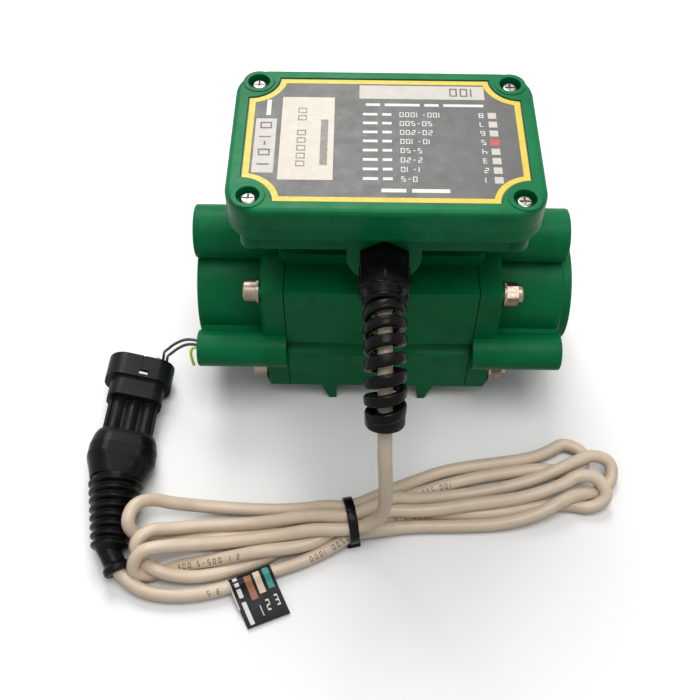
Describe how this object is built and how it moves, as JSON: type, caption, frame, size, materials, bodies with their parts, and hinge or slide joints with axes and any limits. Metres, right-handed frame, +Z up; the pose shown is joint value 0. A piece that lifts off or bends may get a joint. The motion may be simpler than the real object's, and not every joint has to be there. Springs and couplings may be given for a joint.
{
  "type": "electromagnetic flow meter",
  "caption": "In-line electromagnetic flow meter with threaded ports, an electronics box on a pedestal, a spiral cable gland and a tied cable that ends in a booted plug.",
  "frame": {"origin": "middle of the meter's footprint on the plane of the feet, the cord and what is on it left out", "axes": "+X along the pipe towards the inlet, +Z up through the electronics box, +Y to the rear, away from the cable gland"},
  "size_m": [0.2103, 0.1725, 0.1213],
  "materials": {
    "housing_green": "moulded, fine grain",
    "lid_green": "moulded, satin gloss",
    "steel": "turned, satin",
    "screw_steel": "plated",
    "electrode_steel": "ground",
    "seal_rubber": "matt",
    "liner_white": "smooth",
    "spool_black": "moulded",
    "copper": "enamelled wire",
    "core_iron": "machined",
    "label_grey": "printed film",
    "board": "lacquered",
    "board_parts": "moulded",
    "terminal": "moulded",
    "gland_black": "moulded, satin gloss",
    "cable": "smooth sheath",
    "tie_black": "moulded",
    "flag_black": "printed film",
    "plug_black": "moulded, fine grain",
    "lock_pale": "moulded",
    "pin_brass": "tinned",
    "wire_seal": "matt",
    "boot_rubber": "satin",
    "wire_dark": "smooth"
  },
  "bodies": {
    "root": {"meter_body": "housing_green", "outlet_cap": "housing_green", "inlet_cap": "housing_green", "port_seals": "seal_rubber", "tie_bolts": "steel", "bolt_washers": "steel", "lock_nuts": "steel", "flow_liner": "liner_white", "electrodes": "electrode_steel", "coil_spools": "spool_black", "coil_windings": "copper", "coil_cores": "core_iron", "coil_cover": "housing_green", "cover_screws": "screw_steel", "box_base": "housing_green", "pedestal_screws": "screw_steel", "box_lid": "lid_green", "lid_screws": "screw_steel", "lid_seal": "seal_rubber", "label_plate": "label_grey", "circuit_board": "board", "board_screws": "screw_steel", "board_parts": "board_parts", "terminal_block": "terminal", "gland_body": "gland_black", "gland_washer": "seal_rubber", "gland_locknut": "gland_black", "gland_sleeve": "seal_rubber", "gland_spiral_nut": "gland_black", "cable_hank": "cable", "cable_tie": "tie_black", "cable_lead": "cable", "cable_tail": "cable", "cable_flag": "flag_black", "plug_housing": "plug_black", "plug_lock": "lock_pale", "plug_pins": "pin_brass", "wire_seals": "wire_seal", "plug_boot": "boot_rubber", "tag_wire": "wire_dark"}
  },
  "joints": []
}
